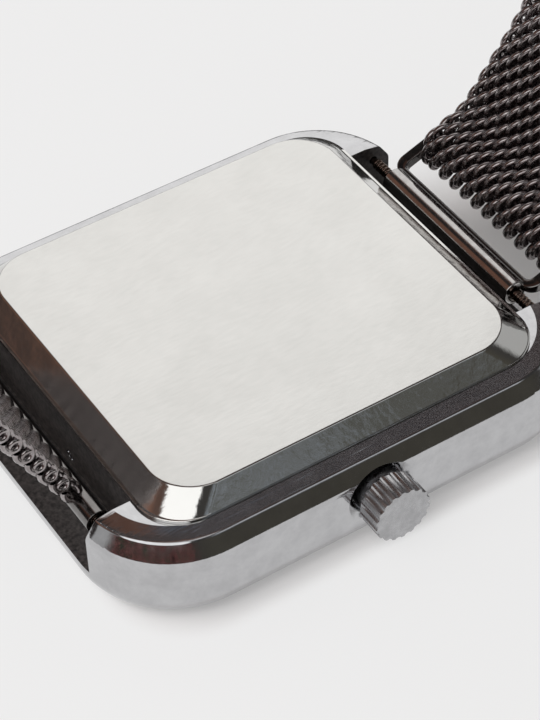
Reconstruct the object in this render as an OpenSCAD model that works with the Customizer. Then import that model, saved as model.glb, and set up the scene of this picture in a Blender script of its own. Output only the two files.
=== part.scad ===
// Square LED wristwatch with a steel mesh loop strap.
// All sizes are in millimetres. The watch lies face down: z = 0 is the front of the glass,
// +Z points out of the case back, +X points to the crown and +Y to the 6 o'clock side.

/* [View] */
// Piece to build, or all

/* [Case] */
// Case width across the crown side and the plain side
case_w = 38.7; // [34:0.1:44]
// Case length along the strap
case_l = 45.1; // [40:0.1:50]
// Corner radius of the case seen from the back
case_corner_r = 8.7; // [5:0.1:11]
// Height of the back plate above the front of the glass
watch_h = 10.2; // [9.6:0.1:11.5]
// Height of the case at the foot of the back
ledge_h = 8.4; // [7.9:0.05:8.6]
// Width of the gently sloping top round the back
ledge_w = 1.5; // [1:0.05:2]
// Slope of that top, degrees
ledge_lean = 10; // [0:1:15]
// Width of the sloping shoulder round the case
shoulder_w = 1; // [0.8:0.05:1.5]
// Drop from the foot of the back to the side
shoulder_h = 1.75; // [1.3:0.05:2]
// Radius where the shoulder meets the side
shoulder_r = 1; // [0.5:0.05:1.5]
// Radius where the shoulder meets the gently sloping top
ledge_edge_r = 0.45; // [0.2:0.05:0.8]
// Radius of the rounded front edge
front_edge_r = 1.9; // [1:0.1:2.2]
// How far the glass stands out of the case front
glass_proud = 0.3; // [0.1:0.05:0.5]

/* [Back] */
// Half width of the back at its foot
back_hx = 16.85; // [16:0.05:17]
// Half length of the back at its foot
back_hy = 18.05; // [17.3:0.05:18.2]
// Height of the upright edge at the foot of the back
foot_t = 0.25; // [0.1:0.05:0.5]
// Corner radius of the back at its foot
back_foot_r = 4.05; // [3.5:0.05:5]
// Half width of the flat plate on the back
plate_hx = 15.65; // [15:0.05:15.9]
// Half length of the flat plate on the back
plate_hy = 16.45; // [15.8:0.05:17]
// Corner radius of the flat plate
plate_corner_r = 4.1; // [3.5:0.1:5]
// Radius of the rounded edge of the back plate
back_edge_r = 0.25; // [0.15:0.05:0.4]

/* [Strap] */
// Gap between the horns that the spring bars span
horn_gap = 24; // [22:0.5:24]
// Mesh width
mesh_w = 17.6; // [15:0.1:17.6]
// Mesh thickness
mesh_t = 1.9; // [1.5:0.05:2]
// Distance of the spring bars from the foot of the back
bar_gap = 2.75; // [2.55:0.05:2.95]
// Height of the spring bars
bar_z = 6.8; // [6.6:0.05:6.9]
// Rise of the strap at the 12 o'clock bar, degrees from the table
rise_12 = 62; // [58:1:66]
// Rise of the strap on the 6 o'clock side, degrees from the table
rise_6 = 52; // [50:1:54]
// Rise of the bail, degrees from the table
bail_rise = 20; // [16:1:24]
// Distance from the spring bar to the far bar of the bail
bail_len = 5.6; // [5.4:0.1:6]

/* [Crown] */
// Crown diameter
crown_d = 5.1; // [4.6:0.1:5.1]
// Number of flutes on the crown
flute_count = 18; // [14:1:22]
// How far the crown can be pressed
crown_travel = 0.6; // [0.3:0.05:0.6]

/* [Hidden] */
$fn = 64;

case_cx = case_w / 2 - case_corner_r;
case_cy = case_l / 2 - case_corner_r;
lip_r = 4.2;
lip_in_r = lip_r - 0.55;
hollow_r = lip_r + 0.5;
back_cx = back_hx - 2.55 - lip_r;
back_cy = back_hy - 2.4 - lip_r;
cavity_r = lip_r + 0.05;
room_r = lip_in_r - 0.05;
room_x = back_cx + room_r;
foot_z = ledge_h + 0.02;
step_z = 6.6;
lip_z = 6.98;
crystal_t = 1.4;
seat_z = crystal_t + 0.2;
wall_z = 2.6;
glass_cx = 10.2;
glass_cy = 13.6;
glass_r = 6;
pocket_y = back_hy - 0.1;
pocket_z = 2.7;
horn_x = horn_gap / 2;
bar_y = back_hy + bar_gap;
bar_d = 1.4;
end_tube_d = 2.1;
bail_in = mesh_w / 2 + 0.2;
bail_out = bail_in + 1.05;
bail_mid = (bail_in + bail_out) / 2;
tube_x = bail_in - 0.6;
tip_x = tube_x - 1.4;
tip_travel = 1;
ring_x = tube_x + tip_travel + 0.1;
tip_d = 0.9;
pin_d = 0.7;
crown_z = 4.75;
crown_x0 = case_w / 2 - 1.05;
head_x = case_w / 2 + 0.45;
neck_d = 4.2;
flute_d = 0.7;
flute_r = crown_d / 2 + 0.17;
dish_deep = 0.45;
crown_x1 = case_w / 2 + 3;
hollow_x1 = crown_x1 - 1.85;
recess_x = crown_x0 - crown_travel - 0.1;
stem_d = 1.4;
stem_x0 = 12.4;
clip_d = 2.2;
clip_x = room_x - 0.28;
board_z = 3.1;
board_top = 3.9;
web_z = 5.6;
battery_z = step_z;
battery_d = 20;
lid_t = 0.7;
spring_t = 0.25;
battery_h = watch_h - lid_t - spring_t - 0.15 - battery_z;

// The strap loop in the Y-Z plane, as points and directions
function dir(a) = [cos(a), sin(a)];
t12 = [-bar_y, bar_z];
t6 = [bar_y, bar_z];
layer_h = 1.7;
run_s = 1.5;
bend_r = 5;
run_l = 5;
far_bar = t6 + bail_len * dir(bail_rise);
bail_n = dir(bail_rise + 90);
bend_c = far_bar + layer_h * bail_n + run_s * dir(bail_rise) + bend_r * bail_n;
bend_end = bend_c + bend_r * dir(rise_6 - 90);
loop_start_a = 180 - rise_12;
loop_turn = loop_start_a - (rise_6 - 180);
chord = 2 * sin(loop_turn / 2) * dir(loop_start_a - loop_turn / 2);
loop_gap = bend_end + run_l * dir(rise_6) - t12;
loop_u = dir(loop_start_a);
loop_det = loop_u[0] * chord[1] - loop_u[1] * chord[0];
rise_l = (loop_gap[0] * chord[1] - loop_gap[1] * chord[0]) / loop_det;
loop_r = (loop_u[0] * loop_gap[1] - loop_u[1] * loop_gap[0]) / loop_det;
loop_c = t12 + rise_l * loop_u + loop_r * dir(loop_start_a - 90);
flex_a = 145;
flex_b = 60;
flex_gap = 0.25;
clasp_s0 = -0.6;
clasp_s1 = 6.2;
clasp_wall = 0.7;
row_pitch = 0.92;
row_valley = 0.5;
gap_a = flex_gap / 2 / loop_r * 180 / PI;
tail_h = 2 * layer_h;
plate_h = mesh_t / 2 + 0.1;
plate_t = 0.3;
clasp_x = mesh_w / 2 + 0.1;

steel = [0.72, 0.72, 0.71];
gunmetal = [0.30, 0.30, 0.31];
dark_mesh = [0.20, 0.18, 0.18];
black = [0.06, 0.06, 0.06];

// Body of revolution and straight runs that follow a rounded rectangle.
// The child is a half profile: x is the distance from the corner centre, y is the height.
module cushion(cx, cy, z0, z1) {
  translate([cx, cy, 0]) rotate_extrude(angle = 90) children();
  translate([-cx, cy, 0]) rotate([0, 0, 90]) rotate_extrude(angle = 90) children();
  translate([-cx, -cy, 0]) rotate([0, 0, 180]) rotate_extrude(angle = 90) children();
  translate([cx, -cy, 0]) rotate([0, 0, 270]) rotate_extrude(angle = 90) children();
  for (turn = [0, 180]) {
    rotate([0, 0, turn]) translate([cx, cy, 0]) rotate([90, 0, 0]) linear_extrude(2 * cy) children();
  }
  for (turn = [90, 270]) {
    rotate([0, 0, turn]) translate([cy, cx, 0]) rotate([90, 0, 0]) linear_extrude(2 * cx) children();
  }
  translate([-cx, -cy, z0]) cube([2 * cx, 2 * cy, z1 - z0]);
}

// Flat slab with rounded corners
module slab(cx, cy, r, z0, z1) {
  cushion(cx, cy, z0, z1) translate([0, z0]) square([r, z1 - z0]);
}

// Round bar along X between two places
module bar_x(d, x0, x1, y, z) {
  translate([x0, y, z]) rotate([0, 90, 0]) cylinder(d = d, h = x1 - x0);
}

// Cone along X between two places, with a diameter at each
module cone_x(d0, d1, x0, x1, y, z) {
  translate([x0, y, z]) rotate([0, 90, 0]) cylinder(d1 = d0, d2 = d1, h = x1 - x0);
}

// Draws its 2D child in the Y-Z plane and extrudes it along X
module along_x(x0, x1) {
  translate([x0, 0, 0]) rotate([90, 0, 90]) linear_extrude(x1 - x0) children();
}

// Helical wire along X
module helix_x(r, wire_r, x0, x1, turns, y, z) {
  per_turn = 10;
  sides = 4;
  steps = turns * per_turn;
  pts = [
    for (i = [0 : steps]) let (a = 360 * i / per_turn, xm = x0 + (x1 - x0) * i / steps)
      for (j = [0 : sides - 1]) let (b = 360 * j / sides, q = r + wire_r * cos(b))
        [xm + wire_r * sin(b), y + q * cos(a), z + q * sin(a)]
  ];
  skin = [
    for (i = [0 : steps - 1]) for (j = [0 : sides - 1]) let (k = (j + 1) % sides)
      [i * sides + j, i * sides + k, (i + 1) * sides + k, (i + 1) * sides + j]
  ];
  first = [for (j = [0 : sides - 1]) sides - 1 - j];
  last = [for (j = [0 : sides - 1]) steps * sides + j];
  polyhedron(points = pts, faces = concat([first], skin, [last]));
}

// Share of the mesh thickness at the i-th place of a spine: full on a row, less between rows
function fullness(i) = i % 2 == 0 ? 1 : row_valley;

// Places along an arc of the strap, two for each row: a point, the direction out of the loop
// and the fullness there
function arc_spine(c, r, a0, a1) =
  let (n = 2 * ceil(abs(a1 - a0) * r * PI / 180 / row_pitch))
    [for (i = [0 : n]) let (a = a0 + (a1 - a0) * i / n) [c + r * dir(a), dir(a), fullness(i)]];

// The same along a straight run, without its two ends
function line_spine(p0, p1, out) =
  let (n = 2 * ceil(norm(p1 - p0) / row_pitch))
    [for (i = [1 : n - 1]) [p0 + (p1 - p0) * i / n, out, fullness(i)]];

// Band of mesh along a spine, one rib for each row, with thinner edges
module mesh_band(spine) {
  for (part = [[mesh_t, mesh_w - 1], [mesh_t - 0.7, mesh_w]]) {
    along_x(-part[1] / 2, part[1] / 2) polygon(concat(
      [for (s = spine) s[0] + part[0] / 2 * s[2] * s[1]],
      [for (i = [len(spine) - 1 : -1 : 0]) let (s = spine[i]) s[0] - part[0] / 2 * s[2] * s[1]]
    ));
  }
}

// Place on the straight run above the bail: s along the strap, h out of the loop
function run_pt(s, h) = bend_end + s * dir(rise_6) + h * dir(rise_6 - 90);

// Block that lies along that run
module run_box(x0, x1, s0, s1, h0, h1) {
  along_x(x0, x1) polygon([run_pt(s0, h0), run_pt(s1, h0), run_pt(s1, h1), run_pt(s0, h1)]);
}

module case_profile() {
  r = case_corner_r;
  side_top = [r, ledge_h - shoulder_h];
  ledge_end = [r - shoulder_w, ledge_h - ledge_w * tan(ledge_lean)];
  lean = atan2(ledge_end[1] - side_top[1], shoulder_w);
  side_cut = shoulder_r * tan((90 - lean) / 2);
  side_z = side_top[1] - side_cut;
  ledge_cut = ledge_edge_r * tan((lean - ledge_lean) / 2);
  ledge_turn = ledge_end - ledge_cut * dir(-ledge_lean);
  difference() {
    union() {
      translate([0, glass_proud]) square([r - front_edge_r, side_z - glass_proud]);
      translate([r - front_edge_r, glass_proud + front_edge_r]) circle(r = front_edge_r);
      translate([0, glass_proud + front_edge_r]) square([r, side_z - glass_proud - front_edge_r]);
      translate([r - shoulder_r, side_z]) circle(r = shoulder_r);
      translate(ledge_turn - ledge_edge_r * dir(90 - ledge_lean)) circle(r = ledge_edge_r);
      polygon([
        [0, side_z], [r, side_z], side_top + side_cut * dir(180 - lean),
        ledge_end - ledge_cut * dir(180 - lean), ledge_turn,
        [r - shoulder_w - ledge_w, ledge_h], [0, ledge_h]
      ]);
    }
    translate([-10, -1]) square([10, 20]);
  }
}

module case_body() {
  color(gunmetal) difference() {
    cushion(case_cx, case_cy, glass_proud, ledge_h) case_profile();
    slab(glass_cx, glass_cy, glass_r + 0.1, -1, seat_z);
    slab(8.4, 9.7, 5, 1, wall_z + 0.5);
    slab(back_cx, back_cy, room_r, wall_z, step_z + 0.5);
    slab(back_cx, back_cy, cavity_r, step_z, ledge_h + 2);
    for (side = [-1, 1]) {
      translate([-horn_x, side > 0 ? pocket_y : -pocket_y - 8, pocket_z]) cube([horn_gap, 8, 10]);
      bar_x(pin_d + 0.1, -horn_x - 1.1, horn_x + 1.1, side * bar_y, bar_z);
    }
    bar_x(neck_d + 0.6, recess_x, crown_x1, 0, crown_z);
    cone_x(neck_d + 0.6, crown_d + 2.3, case_w / 2 - dish_deep, case_w / 2 + dish_deep, 0, crown_z);
    bar_x(2.4, room_x - 1, recess_x + 1, 0, crown_z);
    translate([1.2, -pocket_y - 1, 3.6]) rotate([-90, 0, 0]) cylinder(d = 1, h = 1.8);
  }
}

module crystal() {
  color([0.05, 0.05, 0.06]) cushion(glass_cx, glass_cy, 0, crystal_t) {
    polygon([[0, 0], [glass_r - 0.5, 0], [glass_r, 0.4], [glass_r, crystal_t], [0, crystal_t]]);
  }
}

module crystal_gasket() {
  color(black) difference() {
    slab(glass_cx, glass_cy, glass_r + 0.05, crystal_t, seat_z);
    slab(glass_cx, glass_cy, glass_r - 1.1, crystal_t - 1, seat_z + 1);
  }
}

module display_mask() {
  color(black) difference() {
    slab(glass_cx, glass_cy, glass_r - 1.15, crystal_t, seat_z);
    translate([-10.5, -4.2, 0]) cube([21, 8.4, 4]);
  }
}

module led_module() {
  color([0.12, 0.12, 0.12]) translate([-12, -5.5, seat_z]) cube([24, 11, board_z - seat_z]);
}

// One seven-segment figure, seen from the front with its top towards -Y
module figure(x, lit) {
  w = 3.2;
  h = 6;
  t = 0.62;
  deep = 0.15;
  places = [
    [0, -h / 2, 0], [w / 2, -h / 4, 1], [w / 2, h / 4, 1], [0, h / 2, 0],
    [-w / 2, h / 4, 1], [-w / 2, -h / 4, 1], [0, 0, 0]
  ];
  for (i = lit) {
    p = places[i];
    len = p[2] == 1 ? h / 2 - 0.9 : w - 0.9;
    translate([x + p[0], p[1], seat_z - deep / 2]) {
      cube(p[2] == 1 ? [t, len, deep] : [len, t, deep], center = true);
    }
  }
}

module led_segments() {
  color([1, 0.12, 0.08]) {
    figure(-7.6, [1, 2]);
    figure(-2.9, [0, 1, 2, 3, 4, 5]);
    figure(2.9, [0, 1, 2, 3, 4, 5]);
    figure(7.6, [0, 1, 2, 3, 4, 5, 6]);
    for (y = [-1.2, 1.2]) translate([0, y, seat_z - 0.15]) cylinder(d = 0.8, h = 0.15);
  }
}

module circuit_board() {
  color([0.05, 0.30, 0.15]) difference() {
    slab(9.4, 10.8, 3, board_z, board_top);
    for (s = [-1, 1]) translate([s * 9.5, -s * 11.8, 0]) cylinder(d = 1, h = 10);
  }
}

module control_chip() {
  color(black) translate([-7.5, -12, board_top]) cube([7, 7, 1]);
}

module quartz_can() {
  color(steel) bar_x(1.2, 1, 7, -10, board_top + 0.6);
}

module module_holder() {
  color([0.85, 0.85, 0.83]) difference() {
    union() {
      difference() {
        slab(back_cx, back_cy, room_r - 0.15, wall_z + 0.05, step_z - 0.1);
        slab(9.4, 10.8, 3.1, wall_z - 1, 4);
        slab(9.4, 10.8, 1.9, wall_z - 1, web_z);
        translate([5, -1.8, board_top]) cube([12, 3.6, web_z - board_top]);
        bar_x(clip_d + 0.6, stem_x0 - 0.2, room_x + 1, 0, crown_z);
      }
      for (s = [-1, 1]) translate([s * 9.5, -s * 11.8, board_top]) cylinder(d = 2.4, h = web_z - board_top + 0.2);
    }
    for (s = [-1, 1]) translate([s * 9.5, -s * 11.8, 0]) cylinder(d = 1, h = 10);
  }
}

module module_screws() {
  color(steel) for (s = [-1, 1]) translate([s * 9.5, -s * 11.8, 0]) {
    translate([0, 0, board_z + 0.1]) cylinder(d = 0.9, h = step_z - 0.1 - board_z);
    translate([0, 0, step_z - 0.1]) difference() {
      cylinder(d = 1.8, h = 0.5);
      translate([-1, -0.15, 0.25]) cube([2, 0.3, 1]);
    }
  }
}

module button_contact() {
  color([0.80, 0.65, 0.35]) {
    translate([11.5, -1.2, board_top]) cube([0.2, 2.4, 1.6]);
    translate([9.5, -1.2, board_top]) cube([2.2, 2.4, 0.15]);
  }
}

module battery() {
  color(steel) {
    translate([0, 0, battery_z]) cylinder(d = battery_d - 2.4, h = 0.5);
    translate([0, 0, battery_z + 0.3]) cylinder(d = battery_d, h = battery_h - 0.3);
  }
}

module battery_insulator() {
  color([0.80, 0.65, 0.30]) translate([0, 0, step_z - 0.1]) cylinder(d = 19, h = 0.1);
}

module battery_clip() {
  top = battery_z + battery_h;
  arm_x = battery_d / 2 + 0.55;
  color(steel) {
    translate([-arm_x - 0.15, -1.5, top]) cube([2 * arm_x + 0.3, 3, spring_t]);
    for (s = [-1, 1]) translate([s * arm_x - 0.15, -1.5, step_z - 0.1]) cube([0.3, 3, top - step_z + 0.3]);
  }
}

module back_gasket() {
  color(black) difference() {
    slab(back_cx, back_cy, lip_r, step_z, lip_z);
    slab(back_cx, back_cy, lip_in_r, step_z - 1, lip_z + 1);
  }
}

// Plate with a wide foot, sloping sides and a slightly rounded edge round its flat top
module back_plate() {
  hull() {
    slab(back_hx - back_foot_r, back_hy - back_foot_r, back_foot_r, foot_z, foot_z + foot_t);
    for (a = [0, 45, 90]) {
      slab(
        plate_hx - plate_corner_r, plate_hy - plate_corner_r,
        plate_corner_r - back_edge_r * (1 - cos(a)),
        watch_h - 1, watch_h - back_edge_r * (1 - sin(a))
      );
    }
  }
}

module case_back() {
  color(steel) difference() {
    union() {
      back_plate();
      slab(back_cx, back_cy, lip_r, lip_z, foot_z + 0.1);
    }
    slab(back_cx, back_cy, lip_in_r, lip_z - 1, foot_z + 0.5);
    slab(back_cx, back_cy, hollow_r, foot_z + 0.25, watch_h - lid_t);
  }
}

module crown_tube() {
  color(steel) difference() {
    bar_x(2.4, room_x, recess_x, 0, crown_z);
    bar_x(stem_d + 0.1, room_x - 1, recess_x + 1, 0, crown_z);
  }
}

module crown_spring() {
  color(steel) helix_x(1.3, 0.13, recess_x + 0.14, hollow_x1 - 0.14, 5, 0, crown_z);
}

module crown_o_ring() {
  color(black) translate([16.55, 0, crown_z]) rotate([0, 90, 0]) {
    rotate_extrude() translate([0.6, 0]) circle(r = 0.14);
  }
}

module stem_clip() {
  color(steel) difference() {
    bar_x(clip_d, clip_x, clip_x + 0.22, 0, crown_z);
    bar_x(0.94, clip_x - 1, clip_x + 1, 0, crown_z);
    translate([clip_x - 1, -0.35, crown_z]) cube([2, 0.7, 2]);
  }
}

module crown() {
  color(gunmetal) difference() {
    union() {
      bar_x(neck_d, crown_x0, head_x + 0.1, 0, crown_z);
      cone_x(crown_d - 0.4, crown_d, head_x, head_x + 0.3, 0, crown_z);
      bar_x(crown_d, head_x + 0.3, crown_x1, 0, crown_z);
    }
    bar_x(3.4, crown_x0 - 1, hollow_x1, 0, crown_z);
    bar_x(stem_d, crown_x0, 21.6, 0, crown_z);
    for (i = [0 : flute_count - 1]) {
      a = 360 * i / flute_count;
      bar_x(flute_d, head_x - 1, crown_x1 + 1, flute_r * cos(a), crown_z + flute_r * sin(a));
    }
  }
}

module crown_stem() {
  color(steel) difference() {
    bar_x(stem_d, stem_x0, 21.6, 0, crown_z);
    for (groove = [[16.37, 0.36], [clip_x - 0.02, 0.26]]) {
      difference() {
        bar_x(stem_d + 1, groove[0], groove[0] + groove[1], 0, crown_z);
        bar_x(0.9, groove[0] - 1, groove[0] + 1, 0, crown_z);
      }
    }
  }
}

module spring_bar_tube(y) {
  color(steel) difference() {
    bar_x(bar_d, -tube_x, tube_x, y, bar_z);
    bar_x(tip_d + 0.05, -tube_x - 1, tube_x + 1, y, bar_z);
  }
}

module spring_bar_tip(y, side) {
  color(steel) translate([0, y, bar_z]) rotate([0, 90 * side, 0]) {
    translate([0, 0, tip_x]) cylinder(d = tip_d, h = ring_x - 0.15 - tip_x);
    translate([0, 0, ring_x - 0.25]) cylinder(d = 0.6, h = 11.6 - ring_x);
    for (i = [0 : 4]) translate([0, 0, ring_x + 0.42 * i]) cylinder(d = 1, h = 0.22);
    translate([0, 0, 11.3]) cylinder(d = pin_d, h = horn_x + 0.9 - 11.3);
  }
}

module spring_bar_spring(y) {
  color(steel) helix_x(0.33, 0.08, 0.1 - tip_x, tip_x - 0.1, 13, y, bar_z);
}

module spring_bar_12_tube() { spring_bar_tube(-bar_y); }

module spring_bar_12_spring() { spring_bar_spring(-bar_y); }

module spring_bar_12_tip_crown_side() { spring_bar_tip(-bar_y, 1); }

module spring_bar_12_tip_plain_side() { spring_bar_tip(-bar_y, -1); }

module spring_bar_6_tube() { spring_bar_tube(bar_y); }

module spring_bar_6_spring() { spring_bar_spring(bar_y); }

module spring_bar_6_tip_crown_side() { spring_bar_tip(bar_y, 1); }

module spring_bar_6_tip_plain_side() { spring_bar_tip(bar_y, -1); }

module strap_end_tube() {
  color(gunmetal) difference() {
    bar_x(end_tube_d, 0.8 - horn_x, horn_x - 0.8, -bar_y, bar_z);
    bar_x(bar_d + 0.1, -12, 12, -bar_y, bar_z);
  }
}

module strap_lower() {
  color(dark_mesh) difference() {
    union() {
      bar_x(3, -mesh_w / 2, mesh_w / 2, -bar_y, bar_z);
      mesh_band(concat(
        [[t12, dir(loop_start_a + 90), 1]],
        line_spine(t12, t12 + rise_l * loop_u, dir(loop_start_a + 90)),
        arc_spine(loop_c, loop_r, loop_start_a + 90, flex_a + gap_a)
      ));
    }
    bar_x(end_tube_d, -12, 12, -bar_y, bar_z);
  }
}

module strap_middle() {
  color(dark_mesh) mesh_band(arc_spine(loop_c, loop_r, flex_a - gap_a, flex_b + gap_a));
}

module strap_upper() {
  color(dark_mesh) mesh_band(concat(
    arc_spine(loop_c, loop_r, flex_b - gap_a, rise_6 - 90),
    line_spine(run_pt(run_l, 0), bend_end, dir(rise_6 - 90)),
    arc_spine(bend_c, bend_r, rise_6 - 90, bail_rise - 90),
    line_spine(bend_c - bend_r * bail_n, far_bar + layer_h * bail_n, -bail_n),
    [[far_bar + layer_h * bail_n, -bail_n, 1]]
  ));
}

module strap_fold() {
  color(dark_mesh) mesh_band(concat(
    arc_spine(far_bar, layer_h, bail_rise + 90, bail_rise + 270),
    [[far_bar - layer_h * bail_n + (run_s - 0.1) * dir(bail_rise), -bail_n, 1]]
  ));
}

module strap_tail() {
  tail_end = run_pt(clasp_s1 - clasp_wall - 0.1, tail_h);
  color(dark_mesh) mesh_band(concat(
    arc_spine(bend_c, bend_r + tail_h, bail_rise - 90, rise_6 - 90),
    line_spine(run_pt(0, tail_h), tail_end, dir(rise_6 - 90)),
    [[tail_end, dir(rise_6 - 90), 1]]
  ));
}

module clasp_shell() {
  top = tail_h + mesh_t / 2 + 0.05;
  outer_x = clasp_x + clasp_wall;
  color(gunmetal) {
    run_box(-outer_x, outer_x, clasp_s0, clasp_s1, top, top + clasp_wall);
    run_box(-outer_x, outer_x, clasp_s1 - clasp_wall, clasp_s1, plate_h, top + 0.1);
    run_box(-outer_x, -clasp_x, clasp_s0, clasp_s1, plate_h, top + 0.1);
    run_box(clasp_x, outer_x, clasp_s0, clasp_s1, plate_h, top + 0.1);
  }
}

module clasp_plate() {
  color(steel) run_box(-clasp_x, clasp_x, clasp_s0, clasp_s1 - clasp_wall, plate_h, plate_h + plate_t);
}

module clasp_magnets() {
  color([0.55, 0.55, 0.56]) for (x0 = [-7, 0.5]) {
    run_box(x0, x0 + 6.5, clasp_s0 + 0.5, clasp_s1 - 1.2, plate_h + plate_t, tail_h - mesh_t / 2 - 0.1);
  }
}

module bail() {
  color(gunmetal) translate([0, t6[0], t6[1]]) rotate([bail_rise, 0, 0]) {
    difference() {
      union() {
        translate([-bail_in - 0.25, 0.75, -0.45]) cube([2 * bail_in + 0.5, 0.7, 0.9]);
        for (s = [-1, 1]) {
          translate([s * (bail_in + 0.25), 1.95, -0.45]) cylinder(r = 1.2, h = 0.9);
          translate([s > 0 ? bail_in : -bail_out, 1.95, -0.45]) cube([bail_out - bail_in, bail_len - 1.95, 0.9]);
          translate([s * bail_mid, bail_len, -0.45]) cylinder(d = bail_out - bail_in, h = 0.9);
        }
        bar_x(0.9, -bail_in - 0.4, bail_in + 0.4, bail_len, 0);
        bar_x(2.3, -bail_in, bail_in, 0, 0);
      }
      bar_x(bar_d + 0.1, -12, 12, 0, 0);
      translate([-12, 0, 0]) rotate([90, 0, 90]) linear_extrude(24) {
        polygon([[0, 0], 2.2 * dir(42), 2.6 * dir(90), 2.2 * dir(140), 2.2 * dir(152)]);
      }
      translate([0.5 - bail_in, 1.45, -1]) cube([2 * bail_in - 1, 1.2, 2]);
      translate([-bail_in, 1.95, -1]) cube([2 * bail_in, 2, 2]);
    }
  }
}

case_body();
crystal();
crystal_gasket();
display_mask();
led_module();
led_segments();
circuit_board();
control_chip();
quartz_can();
module_holder();
module_screws();
button_contact();
battery();
battery_clip();
battery_insulator();
back_gasket();
case_back();
crown_tube();
crown_spring();
crown_o_ring();
stem_clip();
crown();
crown_stem();
spring_bar_12_tube();
spring_bar_12_spring();
spring_bar_12_tip_crown_side();
spring_bar_12_tip_plain_side();
spring_bar_6_tube();
spring_bar_6_spring();
spring_bar_6_tip_crown_side();
spring_bar_6_tip_plain_side();
strap_end_tube();
strap_lower();
strap_middle();
strap_upper();
strap_fold();
strap_tail();
clasp_shell();
clasp_plate();
clasp_magnets();
bail();
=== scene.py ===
"""Looks of the square LED watch: the wire mesh strap, the finishes, the light and the camera."""

from math import cos, pi, radians, sin

import bmesh
import bpy
import numpy as np
from mathutils import Matrix, Vector


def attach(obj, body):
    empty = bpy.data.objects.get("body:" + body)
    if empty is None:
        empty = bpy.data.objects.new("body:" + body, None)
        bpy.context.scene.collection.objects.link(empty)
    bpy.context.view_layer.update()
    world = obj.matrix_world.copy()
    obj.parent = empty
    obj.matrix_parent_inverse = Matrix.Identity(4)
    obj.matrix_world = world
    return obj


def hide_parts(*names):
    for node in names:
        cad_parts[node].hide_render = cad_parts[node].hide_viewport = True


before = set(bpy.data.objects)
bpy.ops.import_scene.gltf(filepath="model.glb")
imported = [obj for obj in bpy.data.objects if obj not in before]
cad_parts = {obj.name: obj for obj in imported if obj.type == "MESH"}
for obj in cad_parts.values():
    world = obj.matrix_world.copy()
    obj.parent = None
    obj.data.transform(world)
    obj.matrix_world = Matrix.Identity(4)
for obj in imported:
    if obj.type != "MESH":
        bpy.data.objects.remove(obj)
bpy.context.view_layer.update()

MM = 0.001

# Camera, in metres, from the fit to the case's edges in the photograph; its lens in millimetres
CAMERA_PLACE = Vector((0.12496, -0.07389, 0.14810))
CAMERA_RIGHT = Vector((0.54201, 0.83993, -0.02740))
CAMERA_UP = Vector((-0.58316, 0.39938, 0.70741))
CAMERA_NEAR = 0.01
LENS = 122.53
SENSOR_W = 36

# Strap, in millimetres and degrees, with the same driving sizes as the solids
BAR_Y = 20.8
BAR_Z = 6.8
RISE_12 = 62
RISE_6 = 52
BAIL_RISE = 20
BAIL_LEN = 5.6
LAYER_H = 1.7
RUN_S = 1.5
BEND_R = 5
RUN_L = 5
MESH_W = 17.6
FLEX_A = 145
FLEX_B = 60

# Coils of wire and their rows, in millimetres
WIRE_R = 0.27
COIL_PITCH = 1.57
COIL_ALONG = 0.85
COIL_THICK = 0.67
END_TURNS = 1.0
EVEN_ROW_INSET = 0.02
ODD_ROW_INSET = 0.16
FIRST_ROW = 1.45
ROW_STEP = 0.92
NEAR_12_L = 34.0
CLASP_GRIP = 4.6


# Strap's route
def dir2(angle):
    """Direction in the Y-Z plane at an angle in degrees."""
    return np.array([cos(radians(angle)), sin(radians(angle))])


def strap_path():
    """The strap's centre line as stretches of (length, turn in degrees), from the 12 o'clock bar on."""
    start = np.array([-BAR_Y, BAR_Z])
    far_bar = np.array([BAR_Y, BAR_Z]) + BAIL_LEN * dir2(BAIL_RISE)
    up = dir2(BAIL_RISE + 90)
    bend_c = far_bar + (LAYER_H + BEND_R) * up + RUN_S * dir2(BAIL_RISE)
    loop_end = bend_c + BEND_R * dir2(RISE_6 - 90) + RUN_L * dir2(RISE_6)
    turn = 360 - RISE_12 - RISE_6
    heading = dir2(180 - RISE_12)
    chord = 2 * sin(radians(turn / 2)) * dir2(180 - RISE_12 - turn / 2)
    rise, radius = np.linalg.solve(np.column_stack([heading, chord]), loop_end - start)
    stretches = [
        (rise, 0),
        (radians(turn) * radius, -turn),
        (RUN_L, 0),
        (radians(RISE_6 - BAIL_RISE) * BEND_R, BAIL_RISE - RISE_6),
        (RUN_S, 0),
        (pi * LAYER_H, 180),
        (RUN_S, 0),
        (radians(RISE_6 - BAIL_RISE) * (BEND_R + 2 * LAYER_H), RISE_6 - BAIL_RISE),
        (2 * RUN_L, 0),
    ]
    return start, stretches, rise, radius


PATH_START, STRETCHES, RISE_L, LOOP_R = strap_path()


def on_stretch(place, heading, length, turn, t):
    """Points and directions in degrees at the distances t on a stretch that starts at a place."""
    if turn == 0:
        return place + t[:, None] * dir2(heading), np.full(t.shape, heading)
    first = radians(heading)
    bend = radians(turn) / length
    a = first + bend * t
    moved = np.stack([np.sin(a) - sin(first), cos(first) - np.cos(a)], -1) / bend
    return place + moved, np.degrees(a)


def along_strap(s):
    """Points and outward normals in the Y-Z plane at the distances s along the strap."""
    s = np.asarray(s, float)
    point = np.zeros(s.shape + (2,))
    angle = np.zeros(s.shape)
    place = PATH_START
    heading = 180.0 - RISE_12
    begun = 0.0
    for index, (length, turn) in enumerate(STRETCHES):
        first = index == 0
        last = index == len(STRETCHES) - 1
        here = ((s >= begun) | first) & ((s < begun + length) | last)
        point[here], angle[here] = on_stretch(place, heading, length, turn, s[here] - begun)
        place = on_stretch(place, heading, length, turn, np.array([length]))[0][0]
        heading += turn
        begun += length
    rad = np.radians(angle)
    outward = np.stack([-np.sin(rad), np.cos(rad)], -1)
    return point, outward


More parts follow.
